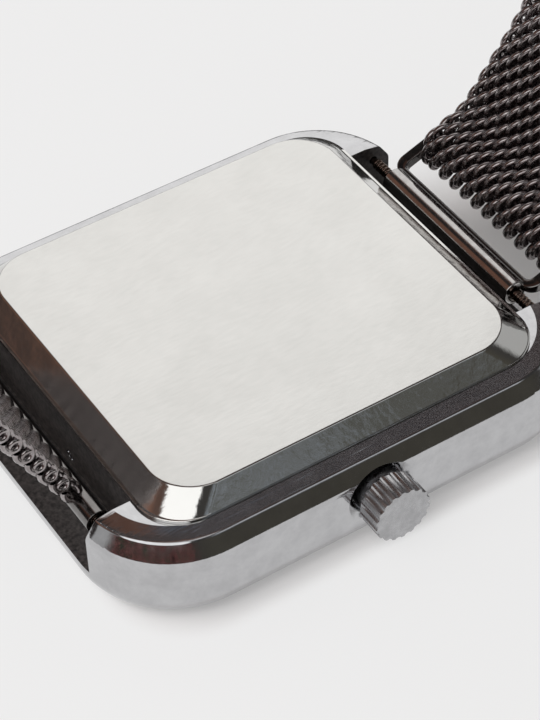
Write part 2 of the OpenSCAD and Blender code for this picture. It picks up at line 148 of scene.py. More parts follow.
# Meshes
def strip_faces(rows, count):
    """Four-sided faces from each of `rows` rings of `count` points to the ring after it."""
    i = np.arange(rows)[:, None] * count
    j = np.arange(count)[None, :]
    k = (j + 1) % count
    return np.stack([i + j, i + k, i + count + k, i + count + j], -1).reshape(-1, 4)


def mesh_object(name, points, quads):
    """A smooth mesh object from arrays of points in millimetres and four-sided faces."""
    mesh = bpy.data.meshes.new(name)
    mesh.vertices.add(len(points))
    mesh.vertices.foreach_set("co", (points * MM).astype(np.float32).ravel())
    mesh.loops.add(quads.size)
    mesh.loops.foreach_set("vertex_index", quads.astype(np.int32).ravel())
    mesh.polygons.add(len(quads))
    mesh.polygons.foreach_set("loop_start", np.arange(0, quads.size, 4, dtype=np.int32))
    mesh.update(calc_edges=True)
    mesh.polygons.foreach_set("use_smooth", np.ones(len(quads), bool))
    mesh.validate()
    obj = bpy.data.objects.new(name, mesh)
    bpy.context.scene.collection.objects.link(obj)
    return obj


def face_outward(obj, cap=0):
    """Turns all faces outward, after closing the first `cap` points with one face."""
    shape = bmesh.new()
    shape.from_mesh(obj.data)
    if cap:
        shape.verts.ensure_lookup_table()
        shape.faces.new([shape.verts[n] for n in range(cap)]).smooth = True
    bmesh.ops.recalc_face_normals(shape, faces=shape.faces)
    shape.to_mesh(obj.data)
    shape.free()
    obj.modifiers.new("normals", "WEIGHTED_NORMAL").keep_sharp = True


# Node trees
class Nodes:
    """Short ways to build a node tree."""

    def __init__(self, tree):
        self.tree = tree

    def add(self, kind, **settings):
        node = self.tree.nodes.new(kind)
        for key, value in settings.items():
            setattr(node, key, value)
        return node

    def link(self, output, socket):
        self.tree.links.new(output, socket)

    def feed(self, socket, value):
        """Sets a socket to a number or a colour, or links an output to it."""
        if isinstance(value, (int, float)):
            socket.default_value = value
        elif isinstance(value, tuple):
            socket.default_value = (*value, 1)
        else:
            self.link(value, socket)

    def maths(self, operation, *values):
        node = self.add("ShaderNodeMath", operation=operation)
        for socket, value in zip(node.inputs, values):
            self.feed(socket, value)
        return node.outputs[0]

    def parts_of(self, vector):
        """The three numbers of a vector."""
        node = self.add("ShaderNodeSeparateXYZ")
        self.link(vector, node.inputs[0])
        return node.outputs["X"], node.outputs["Y"], node.outputs["Z"]

    def spread(self, value, low, high, to_low, to_high, kind="LINEAR"):
        """Maps a value from one range to another, clamped."""
        node = self.add("ShaderNodeMapRange", interpolation_type=kind)
        node.inputs["From Min"].default_value = low
        node.inputs["From Max"].default_value = high
        node.inputs["To Min"].default_value = to_low
        node.inputs["To Max"].default_value = to_high
        self.link(value, node.inputs["Value"])
        return node.outputs["Result"]

    def mixed(self, share, first, second):
        """Colour that goes from the first to the second as the share goes from 0 to 1."""
        node = self.add("ShaderNodeMix", data_type="RGBA")
        self.feed(node.inputs["A"], first)
        self.feed(node.inputs["B"], second)
        self.link(share, node.inputs["Factor"])
        return node.outputs["Result"]

    def blended(self, share, first, second):
        """Shader that goes from the first to the second as the share goes from 0 to 1."""
        node = self.add("ShaderNodeMixShader")
        self.link(share, node.inputs["Fac"])
        self.link(first.outputs[0], node.inputs[1])
        self.link(second.outputs[0], node.inputs[2])
        return node.outputs[0]


class Paint(Nodes):
    """A node material with one Principled shader: plain values first, then what varies on the surface."""

    def __init__(self, name, colour, metallic, roughness):
        self.material = bpy.data.materials.new(name)
        self.material.use_nodes = True
        super().__init__(self.material.node_tree)
        self.shader = self.tree.nodes["Principled BSDF"]
        self.set("Base Color", colour)
        self.set("Metallic", metallic)
        self.set("Roughness", roughness)
        self.place = self.add("ShaderNodeTexCoord").outputs["Object"]
        self.bump_from = None

    def set(self, name, value):
        """Gives one of the shader's sockets a number, a colour or an output."""
        self.feed(self.shader.inputs[name], value)

    def facing(self, name="Normal"):
        """The three numbers of the surface's direction."""
        return self.parts_of(self.add("ShaderNodeNewGeometry").outputs[name])

    def noise(self, scale, detail, rough, vector=None):
        """Noise with `scale` features per metre."""
        node = self.add("ShaderNodeTexNoise")
        node.inputs["Scale"].default_value = scale
        node.inputs["Detail"].default_value = detail
        node.inputs["Roughness"].default_value = rough
        self.link(vector or self.place, node.inputs["Vector"])
        return node.outputs["Fac"]

    def brushed(self, scales, detail, rough, turn=0):
        """Noise with features per metre for each axis, turned about Z by an angle in degrees."""
        mapping = self.add("ShaderNodeMapping")
        mapping.inputs["Scale"].default_value = scales
        mapping.inputs["Rotation"].default_value = (0, 0, radians(turn))
        self.link(self.place, mapping.inputs["Vector"])
        return self.noise(1, detail, rough, mapping.outputs["Vector"])

    def bump(self, height, distance, strength):
        """Adds a bump whose full height is `distance` metres."""
        node = self.add("ShaderNodeBump")
        node.inputs["Distance"].default_value = distance
        node.inputs["Strength"].default_value = strength
        self.link(height, node.inputs["Height"])
        if self.bump_from:
            self.link(self.bump_from, node.inputs["Normal"])
        self.bump_from = node.outputs["Normal"]
        self.set("Normal", self.bump_from)


# Ranges in the middle of a noise, for most surfaces
WIDE = (0.3, 0.7)
NARROW = (0.35, 0.65)

# Case: places in metres, noises as (features per metre, detail, roughness), bumps as (height, strength)
CASE_COLOUR = (0.52, 0.52, 0.53)
CASE_ROUGHNESS = (0.06, 0.15)
CASE_POLISH = (900, 4, 0.6)
CASE_WAVES = (450, 4, 0.6)
CASE_WAVE_BUMP = (0.00003, 0.5)
CASE_CLOUDS = (520, 5, 0.65)
CLOUD_RANGE = (0.34, 0.66)
CLOUD_SHARES = (0.92, 1.06)
WALL_FACING = (0.6, 0.8)
# A pale band of painted reflection low on the upright side wall, and a dark line of painted shade at its
# base: heights in metres, then colours
PAINTED_REFLECTION_Z = (0.0007, 0.0018)
PAINTED_REFLECTION_BAND = (0.60, 0.625, 0.655)
PAINTED_SHADE_LINE_Z = (0.0002, 0.0005)
PAINTED_SHADE_LINE = (0.11, 0.10, 0.10)
LEDGE_STEEPEST = (0.95, 0.97)
LEDGE_FLATTEST = (0.992, 0.998)
LEDGE_GRAIN = ((1700, 70, 1700), 3, 0.6)
LEDGE_BUMP = (0.00005, 0.6)
POCKET_HALF_W = 0.01204
POCKET_FROM_Y = 0.01785
POCKET_FROM_Z = 0.00265
POCKET_PITS = (2600, 3, 0.6)
PIT_RANGE = (0.35, 0.7)
PIT_BUMP = (0.00006, 0.5)
PIT_SHARE_OUTSIDE = 0.05
# Strap pockets painted near-black and dull as shade, in two tones by the pits, and their roughness
POCKET_PAINTED_SHADE = ((0.02, 0.018, 0.018), (0.085, 0.075, 0.072))
POCKET_SHADE_ROUGHNESS = 0.42


def pocket_mask(p):
    """1 inside the strap pockets at both ends of the case, 0 elsewhere."""
    x, y, z = p.parts_of(p.place)
    across = p.maths("LESS_THAN", p.maths("ABSOLUTE", x), POCKET_HALF_W)
    along = p.maths("GREATER_THAN", p.maths("ABSOLUTE", y), POCKET_FROM_Y)
    above = p.maths("GREATER_THAN", z, POCKET_FROM_Z)
    return p.maths("MULTIPLY", p.maths("MULTIPLY", across, along), above)


def ledge_mask(p):
    """1 on the gently sloping ledge round the back plate, 0 elsewhere."""
    up = p.facing("True Normal")[2]
    not_steep = p.spread(up, *LEDGE_STEEPEST, 0, 1)
    not_flat = p.spread(up, *LEDGE_FLATTEST, 1, 0)
    return p.maths("MULTIPLY", not_steep, not_flat)


def case_plating_and_painted_light(p):
    """Dark plated colour with faint clouds, a painted reflection as a pale band low on the side wall, and
    painted shade as a dark line under it.
    """
    clouds = p.spread(p.noise(*CASE_CLOUDS), *CLOUD_RANGE, 0, 1)
    darker, lighter = (tuple(c * share for c in CASE_COLOUR) for share in CLOUD_SHARES)
    plated_tone_with_painted_light = p.mixed(clouds, darker, lighter)
    height = p.parts_of(p.place)[2]
    upright = p.spread(p.maths("ABSOLUTE", p.facing()[2]), *WALL_FACING, 1, 0)
    # Paints the pale reflection band, then the dark shade line, on upright faces near the base
    for heights, colour in ((PAINTED_REFLECTION_Z, PAINTED_REFLECTION_BAND), (PAINTED_SHADE_LINE_Z, PAINTED_SHADE_LINE)):
        band = p.maths("MULTIPLY", p.spread(height, *heights, 1, 0), upright)
        plated_tone_with_painted_light = p.mixed(band, plated_tone_with_painted_light, colour)
    return plated_tone_with_painted_light


def polished_case():
    """Dark polished plated metal with a slightly uneven surface, painted reflection and shade low on its
    side wall, and the strap pockets painted near-black and dull as shade.
    """
    p = Paint("polished_case", CASE_COLOUR, 1.0, 0.1)
    pocket = pocket_mask(p)
    pits = p.noise(*POCKET_PITS)
    # Painted shade: the pockets go near-black, dull and not metal, in two tones by the pits
    pocket_shade = p.mixed(p.spread(pits, *PIT_RANGE, 0, 1), *POCKET_PAINTED_SHADE)
    p.set("Base Color", p.mixed(pocket, case_plating_and_painted_light(p), pocket_shade))
    p.set("Metallic", p.maths("SUBTRACT", 1.0, pocket))
    polished = p.spread(p.noise(*CASE_POLISH), *WIDE, *CASE_ROUGHNESS)
    p.set("Roughness", p.maths("MAXIMUM", polished, p.maths("MULTIPLY", pocket, POCKET_SHADE_ROUGHNESS)))
    p.bump(p.noise(*CASE_WAVES), *CASE_WAVE_BUMP)
    p.bump(p.maths("MULTIPLY", p.brushed(*LEDGE_GRAIN), ledge_mask(p)), *LEDGE_BUMP)
    pit_share = p.spread(pocket, 0, 1, PIT_SHARE_OUTSIDE, 1)
    p.bump(p.maths("MULTIPLY", pits, pit_share), *PIT_BUMP)
    return p.material


# Back plate's steel, with its brush marks turned by an angle in degrees
PLATE_TONES = ((0.645, 0.64, 0.62), (0.68, 0.675, 0.655))
PLATE_CLOUDS = (160, 4, 0.6)
BRUSH_TURN = 38
PLATE_GRAIN = ((4200, 900, 900), 2, 0.5, BRUSH_TURN)
PLATE_SCRATCHES = ((14000, 260, 260), 1, 0.5, BRUSH_TURN)
SCRATCH_RANGE = (0.70, 0.78)
SCRATCH_BUMP = (0.0000008, 0.5)
FLAT_FACING = (0.97, 0.999)
SLOPE_ROUGHNESS = 0.07
SATIN_ROUGHNESS = (0.16, 0.2)
DULL_END_FACING = (-0.7, -0.5)
DULL_END_ROUGHNESS = 0.14
SLOPE_WAVES = (650, 2, 0.5)
SLOPE_WAVE_BUMP = (0.00003, 0.6)
SLOPE_GRAIN = (2200, 4, 0.6)
SLOPE_GRAIN_BUMP = (0.00001, 0.6)


def satin_plate():
    """Bright satin steel of the back plate, with fine scratches and polished slopes."""
    p = Paint("satin_plate", (0.66, 0.655, 0.635), 1.0, 0.3)
    _, toward_6, up = p.facing()
    flat = p.spread(up, *FLAT_FACING, 0, 1)
    slope = p.maths("SUBTRACT", 1.0, flat)
    clouds = p.spread(p.noise(*PLATE_CLOUDS), *NARROW, 0, 1)
    p.set("Base Color", p.mixed(clouds, *PLATE_TONES))
    satin = p.spread(p.brushed(*PLATE_GRAIN), *WIDE, *SATIN_ROUGHNESS)
    dull_end = p.spread(toward_6, *DULL_END_FACING, DULL_END_ROUGHNESS, 0)
    slope_roughness = p.maths("ADD", dull_end, SLOPE_ROUGHNESS)
    p.set("Roughness", p.maths("ADD", p.maths("MULTIPLY", satin, flat), slope_roughness))
    scratches = p.spread(p.brushed(*PLATE_SCRATCHES), *SCRATCH_RANGE, 0, 1)
    p.bump(p.maths("MULTIPLY", scratches, flat), *SCRATCH_BUMP)
    p.bump(p.maths("MULTIPLY", p.noise(*SLOPE_WAVES), slope), *SLOPE_WAVE_BUMP)
    p.bump(p.maths("MULTIPLY", p.noise(*SLOPE_GRAIN), slope), *SLOPE_GRAIN_BUMP)
    return p.material


# Small metal parts, and parts that are not metal
METAL_MARKS = (1500, 4, 0.6)
METAL_BUMP = (0.000004, 0.5)
METAL_WORN = 0.85
METAL_SMOOTHER = 0.7
METAL_ROUGHER = 1.4
DULL_GRAIN = (2500, 4, 0.6)
DULL_BUMP = (0.00002, 0.4)
DULL_LIGHTER = 1.25
DULL_LIFT = 0.004


def plain_metal(name, colour, roughness):
    """A small metal part with a fine, uneven finish."""
    p = Paint(name, colour, 1.0, roughness)
    marks = p.noise(*METAL_MARKS)
    worn = tuple(c * METAL_WORN for c in colour)
    p.set("Base Color", p.mixed(p.spread(marks, *NARROW, 0, 1), colour, worn))
    p.set("Roughness", p.spread(marks, *WIDE, roughness * METAL_SMOOTHER, roughness * METAL_ROUGHER))
    p.bump(marks, *METAL_BUMP)
    return p.material


def dull(name, colour, roughness):
    """A part that is not metal, with a fine grain."""
    p = Paint(name, colour, 0.0, roughness)
    grain = p.noise(*DULL_GRAIN)
    lighter = tuple(min(1, c * DULL_LIGHTER + DULL_LIFT) for c in colour)
    p.set("Base Color", p.mixed(p.spread(grain, *NARROW, 0, 1), colour, lighter))
    p.bump(grain, *DULL_BUMP)
    return p.material


# Wire, glass and digits
WIRE_TONES = ((0.25, 0.222, 0.22), (0.42, 0.39, 0.39))
WIRE_ROUGHNESS = (0.13, 0.24)
WIRE_MARKS = (1400, 4, 0.6)
WIRE_MARK_RANGE = (0.35, 0.7)
WIRE_GRAIN = (3000, 2, 0.5)
WIRE_BUMP = (0.0000025, 0.4)
GLASS_CLEAR = 0.85
GLASS_IOR = 1.5
GLASS_ROUGHNESS = (0.02, 0.05)
GLASS_MARKS = (800, 3, 0.5)
DIGIT_LIGHT = (1.0, 0.04, 0.02)
DIGIT_GLOW = (9.0, 11.0)
DIGIT_MARKS = (2500, 2, 0.5)


def mesh_wire():
    """Dark plated wire, rubbed a little brighter in places."""
    p = Paint("mesh_wire", (0.28, 0.25, 0.25), 1.0, 0.2)
    marks = p.noise(*WIRE_MARKS)
    p.set("Base Color", p.mixed(p.spread(marks, *WIRE_MARK_RANGE, 0, 1), *WIRE_TONES))
    p.set("Roughness", p.spread(marks, *WIDE, *WIRE_ROUGHNESS))
    p.bump(p.noise(*WIRE_GRAIN), *WIRE_BUMP)
    return p.material


def front_glass():
    """Dark mineral glass over the display."""
    p = Paint("front_glass", (0.02, 0.02, 0.022), 0.0, 0.03)
    p.set("Transmission Weight", GLASS_CLEAR)
    p.set("IOR", GLASS_IOR)
    p.set("Roughness", p.spread(p.noise(*GLASS_MARKS), *WIDE, *GLASS_ROUGHNESS))
    return p.material


def glowing_digits():
    """Red light of the digits."""
    p = Paint("glowing_digits", (0.9, 0.03, 0.02), 0.0, 0.4)
    p.set("Emission Color", DIGIT_LIGHT)
    p.set("Emission Strength", p.spread(p.noise(*DIGIT_MARKS), *WIDE, *DIGIT_GLOW))
    return p.material


CASE = polished_case()
PLATE = satin_plate()
STEEL = plain_metal("steel", (0.62, 0.62, 0.63), 0.25)
DARK_STEEL = plain_metal("dark_steel", (0.22, 0.21, 0.205), 0.16)
BAR_STEEL = plain_metal("bar_steel", (0.62, 0.60, 0.58), 0.14)
BRONZE = plain_metal("dark_bronze", (0.20, 0.15, 0.125), 0.2)
BAIL_FLAT = plain_metal("bail_flat", (0.20, 0.195, 0.19), 0.14)
BAIL_TUBE = plain_metal("bail_tube", (0.47, 0.455, 0.445), 0.15)
BRASS = plain_metal("brass", (0.72, 0.55, 0.28), 0.3)
WIRE = mesh_wire()
CROWN = plain_metal("crown_metal", (0.47, 0.47, 0.48), 0.27)
RUBBER = dull("rubber", (0.015, 0.015, 0.016), 0.6)
MASK = dull("mask_print", (0.008, 0.008, 0.009), 0.5)
WINDOW = dull("led_window", (0.05, 0.008, 0.008), 0.25)
BOARD = dull("board_green", (0.02, 0.14, 0.05), 0.4)
CHIP = dull("chip_black", (0.02, 0.02, 0.022), 0.45)
HOLDER = dull("holder_plastic", (0.06, 0.06, 0.065), 0.5)
FILM = dull("amber_film", (0.62, 0.33, 0.05), 0.3)
GLASS = front_glass()
DIGITS = glowing_digits()

# Nodes that are not plain steel
FINISHES = {
    "case_body": CASE, "case_back": PLATE, "crystal": GLASS, "crystal_gasket": RUBBER,
    "display_mask": MASK, "led_module": WINDOW, "led_segments": DIGITS,
    "circuit_board": BOARD, "control_chip": CHIP, "module_holder": HOLDER,
    "button_contact": BRASS, "battery_insulator": FILM, "back_gasket": RUBBER,
    "crown": CROWN, "crown_o_ring": RUBBER, "strap_end_tube": DARK_STEEL, "bail": DARK_STEEL,
    "clasp_shell": DARK_STEEL, "clasp_plate": DARK_STEEL,
    "spring_bar_6_tube": BAR_STEEL, "spring_bar_12_tube": BAR_STEEL,
    "spring_bar_6_tip_crown_side": BRONZE, "spring_bar_6_tip_plain_side": BRONZE,
    "spring_bar_12_tip_crown_side": BRONZE, "spring_bar_12_tip_plain_side": BRONZE,
}

# Rounded edges in metres, and the bend in degrees from which an edge is rounded
EDGE = 0.00006
CLASP_EDGE = 0.00032
SHARP = 28
CASE_SHARP = 9
EDGE_STEPS = 2
WELD_GAP = 0.000001
FLAT_BEND = 0.1


def finish_node(obj, material, edge, sharp):
    """Gives a CAD node its finish, and slightly rounds its edges from `sharp` degrees on."""
    obj.data.materials.clear()
    obj.data.materials.append(material)
    obj.data.polygons.foreach_set("use_smooth", np.ones(len(obj.data.polygons), bool))
    weld = obj.modifiers.new("weld", "WELD")
    weld.merge_threshold = WELD_GAP
    flats = obj.modifiers.new("flats", "DECIMATE")
    flats.decimate_type = "DISSOLVE"
    flats.angle_limit = radians(FLAT_BEND)
    bevel = obj.modifiers.new("edges", "BEVEL")
    bevel.width = edge
    bevel.segments = EDGE_STEPS
    bevel.limit_method = "ANGLE"
    bevel.angle_limit = radians(sharp)
    bevel.use_clamp_overlap = True
    obj.modifiers.new("normals", "WEIGHTED_NORMAL").keep_sharp = True


for node_name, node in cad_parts.items():
    node_edge = CLASP_EDGE if node_name == "clasp_shell" else EDGE
    node_sharp = CASE_SHARP if node_name == "case_body" else SHARP
    finish_node(node, FINISHES.get(node_name, STEEL), node_edge, node_sharp)


# Back plate in millimetres, its outlines as (half across, half along, corner radius)
FLAT_HALF = (15.65, 16.45, 4.1)
FOOT_HALF = (16.85, 18.05, 4.05)
PLATE_TOP = 10.2
FOOT_TOP = 8.67
FOOT_Z = 8.42
RIM_R = 0.25
LIP_W = 0.2
LIP_EDGE = 0.04
FLAT_INSETS = (4.0, 0.6, 0.3)
RIM_ANGLES = (0, 6, 14, 22, 30, 38, 44)
SLOPE_SHARES = (0.04, 0.5, 0.96, 1.0)
PLATE_CORNER_STEPS = 28


def rounded_ring(half_x, half_y, corner, z, steps):
    """Points round a rounded rectangle at height z."""
    arc = np.linspace(0, pi / 2, steps)
    parts = []
    for quarter, (sign_x, sign_y) in enumerate(((1, 1), (-1, 1), (-1, -1), (1, -1))):
        a = arc + quarter * pi / 2
        x = sign_x * (half_x - corner) + corner * np.cos(a)
        y = sign_y * (half_y - corner) + corner * np.sin(a)
        parts.append(np.column_stack([x, y, np.full(steps, z)]))
    return np.concatenate(parts)


def between(first, second, share):
    return tuple(a + (b - a) * share for a, b in zip(first, second))


def flat_outline(inset, drop):
    """The flat top's outline, smaller by an inset and lower by a drop."""
    return (*(v - inset for v in FLAT_HALF), PLATE_TOP - drop)


def plate_rings():
    """Rings of the back plate from its flat top over the rim and down the slope to the foot."""
    rings = [flat_outline(inset, 0) for inset in FLAT_INSETS]
    for a in map(radians, RIM_ANGLES):
        rings.append(flat_outline(RIM_R * (1 - sin(a)), RIM_R * (1 - cos(a))))
    rim_end = rings[-1]
    rings += [between(rim_end, (*FOOT_HALF, FOOT_TOP), share) for share in SLOPE_SHARES]
    half_x, half_y, corner = FOOT_HALF
    for drop in (0, LIP_EDGE, FOOT_TOP - FOOT_Z):
        rings.append((half_x, half_y + LIP_W, corner, FOOT_TOP - drop))
    return [rounded_ring(*ring, PLATE_CORNER_STEPS) for ring in rings]


def back_plate():
    """The back plate as one smooth surface."""
    rings = plate_rings()
    count = len(rings[0])
    quads = strip_faces(len(rings) - 1, count)[:, ::-1]
    obj = mesh_object("back_plate_skin", np.concatenate(rings), quads)
    face_outward(obj, count)
    obj.data.materials.append(PLATE)
    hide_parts("case_back")
    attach(obj, "case")


back_plate()


# Bail in millimetres, in its own frame on the spring bar
BAIL_HALF = 10.05
BAIL_INNER_HALF = 9.0
STRIP_Y = (0.75, 1.45)
FAR_BAR_D = 0.9
BAIL_HALF_T = 0.45
BAIL_EDGE_R = 0.14
BAIL_EDGE_STEPS = 4
BAIL_OUTER_R = 1.3
BAIL_INNER_R = 0.55
BAIL_CORNER_STEPS = 12
BAIL_TUBE_R = 1.2
BAIL_BORE_R = 0.76
BAIL_TUBE_HALF = 8.9
BAIL_TUBE_SIDES = 72
# The tube's rounded mouth as (distance in from its end, radius)
BAIL_TUBE_MOUTH = ((0, BAIL_BORE_R), (0, 1.08), (0.04, 1.15), (0.12, BAIL_TUBE_R))


def on_bail(points):
    """Moves points from the bail's own frame, on its pivot, to the watch."""
    rise = radians(BAIL_RISE)
    x, y, z = points.T
    turned_y = y * cos(rise) - z * sin(rise)
    turned_z = y * sin(rise) + z * cos(rise)
    return np.column_stack([x, BAR_Y + turned_y, BAR_Z + turned_z])


def bail_section():
    """The frame's rounded edge from its underside to its top, as (inset, height)."""
    upper = []
    for a in np.linspace(0, pi / 2, BAIL_EDGE_STEPS):
        upper.append((BAIL_EDGE_R * (1 - cos(a)), BAIL_HALF_T - BAIL_EDGE_R * (1 - sin(a))))
    return [(inset, -z) for inset, z in upper[::-1]] + upper


def bail_edge(half_x, low, high, corner, side):
    """Rings along one edge of the frame: side -1 is its outside, 1 its inside."""
    rings = []
    for inset, z in bail_section()[::-side]:
        step = side * inset
        ring = rounded_ring(half_x + step, (high - low) / 2 + step, corner + step, z, BAIL_CORNER_STEPS)
        rings.append(ring + [0, (high + low) / 2, 0])
    return rings


def bail_frame():
    """Rings of the flat bent frame: outside edge, top, inside edge and underside."""
    outside = bail_edge(BAIL_HALF, STRIP_Y[0], BAIL_LEN + FAR_BAR_D / 2, BAIL_OUTER_R, -1)
    inside = bail_edge(BAIL_INNER_HALF, STRIP_Y[1], BAIL_LEN - FAR_BAR_D / 2, BAIL_INNER_R, 1)
    return outside + inside


def bail_tube():
    """Rings of the smooth tube that turns on the spring bar."""
    mouth = [(BAIL_TUBE_HALF - depth, r) for depth, r in BAIL_TUBE_MOUTH]
    a = np.linspace(0, 2 * pi, BAIL_TUBE_SIDES, endpoint=False)
    rings = []
    for x, r in [(-x, r) for x, r in mouth] + mouth[::-1]:
        rings.append(np.column_stack([np.full(BAIL_TUBE_SIDES, x), r * np.cos(a), r * np.sin(a)]))
    return rings


def bail_piece(name, rings, material, replaced):
    """A closed piece on the bail from rings that go round its section, last to first."""
    points = np.concatenate(rings)
    quads = strip_faces(len(rings), len(rings[0])) % len(points)
    obj = mesh_object(name, on_bail(points), quads)
    face_outward(obj)
    obj.data.materials.append(material)
    if replaced:
        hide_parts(replaced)
    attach(obj, "bail")


bail_piece("bail_frame", bail_frame(), BAIL_FLAT, "bail")
bail_piece("bail_tube", bail_tube(), BAIL_TUBE, None)


# Wire mesh strap: places along it in millimetres
LOOP_START_ANGLE = 270 - RISE_12
S_FLEX_A = RISE_L + radians(LOOP_START_ANGLE - FLEX_A) * LOOP_R
S_FLEX_B = RISE_L + radians(LOOP_START_ANGLE - FLEX_B) * LOOP_R
S_FOLD = sum(length for length, _ in STRETCHES[:5])
S_NEAR_6 = (S_FLEX_B + S_FOLD) / 2
S_TAIL = S_FOLD + STRETCHES[5][0]
S_END = S_TAIL + RUN_S + STRETCHES[7][0] + CLASP_GRIP

# Points in a turn of wire and sides of the wire, more where the camera is near
FAR = (14, 6)
HALFWAY = (16, 8)
NEAR = (20, 8)
NEAREST = (24, 8)


def coil_line(s_row, row, segments):
    """Centre line of one coil of wire across the strap, and the coil's own axis beside each point."""
    odd = row % 2
    reach = MESH_W / 2 - WIRE_R - (ODD_ROW_INSET if odd else EVEN_ROW_INSET)
    turns = 2 * reach / COIL_PITCH + END_TURNS
    count = int(turns * segments) + 1
    theta = (np.arange(count) - (count - 1) / 2) * 2 * pi / segments + pi * odd
    x = np.clip(COIL_PITCH * theta / (2 * pi) - COIL_PITCH / 2 * odd, -reach, reach)
    point, outward = along_strap(s_row + COIL_ALONG * np.cos(theta))
    line = point - (COIL_THICK * np.sin(theta))[:, None] * outward
    axis, _ = along_strap(np.full(count, s_row))
    return np.column_stack([x, line]), np.column_stack([x, axis])


def wire_points(line, axis, sides):
    """Rings of points round a wire's centre line, each begun on the side away from the coil's axis."""
    tangent = np.gradient(line, axis=0)
    tangent /= np.linalg.norm(tangent, axis=1)[:, None]
    radial = line - axis
    radial -= (radial * tangent).sum(1)[:, None] * tangent
    radial /= np.linalg.norm(radial, axis=1)[:, None]
    side = np.cross(tangent, radial)
    b = np.arange(sides) * 2 * pi / sides
    ring = np.cos(b)[None, :, None] * radial[:, None] + np.sin(b)[None, :, None] * side[:, None]
    return (line[:, None] + WIRE_R * ring).reshape(-1, 3)


def strap_piece(name, s_from, s_to, body, replaced, fineness):
    """The coils whose middle lies between two places on the strap, as one piece."""
    segments, sides = fineness
    points = []
    quads = []
    used = 0
    for row, s in enumerate(np.arange(FIRST_ROW, S_END, ROW_STEP)):
        if s_from <= s < s_to:
            line, axis = coil_line(s, row, segments)
            points.append(wire_points(line, axis, sides))
            quads.append(strip_faces(len(line) - 1, sides) + used)
            used += len(line) * sides
    obj = mesh_object(name, np.concatenate(points), np.concatenate(quads))
    obj.data.materials.append(WIRE)
    if replaced:
        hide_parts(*replaced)
    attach(obj, body)


strap_piece("strap_end_mesh", 0, NEAR_12_L, "strap_lower", [], NEAR)
strap_piece("strap_lower_mesh", NEAR_12_L, S_FLEX_A, "strap_lower", ["strap_lower"], FAR)
strap_piece("strap_middle_mesh", S_FLEX_A, S_FLEX_B, "strap_middle", ["strap_middle"], FAR)
strap_piece("strap_upper_mesh", S_FLEX_B, S_NEAR_6, "strap_upper", ["strap_upper"], HALFWAY)
strap_piece("strap_near_mesh", S_NEAR_6, S_FOLD, "strap_upper", [], NEAR)
strap_piece("strap_fold_mesh", S_FOLD, S_TAIL, "strap_upper", ["strap_fold"], NEAREST)
strap_piece("strap_tail_mesh", S_TAIL, S_END, "tail", ["strap_tail"], FAR)


# Floor, in metres, with the share of its look that is its own pale glow
PALE = (0.863, 0.863, 0.863)
FLOOR_COLOUR = (0.80, 0.785, 0.78)
FLOOR_HALF = 1.5
FLOOR_GAP = 0.00002
GLOW_UNDER_STRAP = 0.08
GLOW_AT_CASE = 0.30
GLOW_OPEN = 0.86
# Case's outline on the floor as (half across, half along, corner radius), and its shade's width
CASE_FOOT = (0.0193, 0.0203, 0.006)
CASE_SHADE_W = 0.0022
# Strap's shade across and along as (middle, half width, half width with its soft edge)
STRAP_SHADE = ((0, 0.007, 0.019), (0.031, 0.012, 0.030))


def distance_beyond(look, axis, half):
    """How far a coordinate lies beyond plus or minus half, and 0 between them."""
    return look.maths("MAXIMUM", look.maths("SUBTRACT", look.maths("ABSOLUTE", axis), half), 0.0)


def glow_by_case(look, x, y):
    """Little glow close to the case's outline, and the open floor's glow away from it."""
    half_x, half_y, corner = CASE_FOOT
    beyond_x = distance_beyond(look, x, half_x - corner)
    beyond_y = distance_beyond(look, y, half_y - corner)
    squares = (look.maths("MULTIPLY", beyond, beyond) for beyond in (beyond_x, beyond_y))
    away = look.maths("SUBTRACT", look.maths("SQRT", look.maths("ADD", *squares)), corner)
    return look.spread(away, 0, CASE_SHADE_W, GLOW_AT_CASE, GLOW_OPEN, "SMOOTHSTEP")


def glow_by_strap(look, x, y):
    """Little glow below the strap's loop, and the open floor's glow away from it."""
    shares = []
    for axis, (middle, low, high) in zip((x, y), STRAP_SHADE):
        away = look.maths("ABSOLUTE", look.maths("SUBTRACT", axis, middle))
        shares.append(look.spread(away, low, high, GLOW_UNDER_STRAP, GLOW_OPEN, "SMOOTHSTEP"))
    return look.maths("MAXIMUM", *shares)


def floor_material():
    """Diffuse floor that mixes in its pale glow for what the camera and mirrors see."""
    material = bpy.data.materials.new("studio_floor")
    material.use_nodes = True
    look = Nodes(material.node_tree)
    look.tree.nodes.clear()
    diffuse = look.add("ShaderNodeBsdfDiffuse")
    look.feed(diffuse.inputs["Color"], FLOOR_COLOUR)
    glow = look.add("ShaderNodeEmission")
    look.feed(glow.inputs["Color"], PALE)
    x, y, _ = look.parts_of(look.add("ShaderNodeTexCoord").outputs["Object"])
    share = look.maths("MINIMUM", glow_by_strap(look, x, y), glow_by_case(look, x, y))
    path = look.add("ShaderNodeLightPath")
    seen = look.maths("MAXIMUM", path.outputs["Is Camera Ray"], path.outputs["Is Glossy Ray"])
    surface = look.blended(look.maths("MULTIPLY", seen, share), diffuse, glow)
    output = look.add("ShaderNodeOutputMaterial")
    look.link(surface, output.inputs["Surface"])
    return material


def studio_floor():
    """Pale floor that stays pale to the camera and keeps the watch's shadow."""
    corners = np.array([[-1, -1, 0], [1, -1, 0], [1, 1, 0], [-1, 1, 0]])
    floor = mesh_object("studio_floor", corners * FLOOR_HALF / MM, np.array([[0, 1, 2, 3]]))
    floor.location.z = -FLOOR_GAP
    floor.data.materials.append(floor_material())


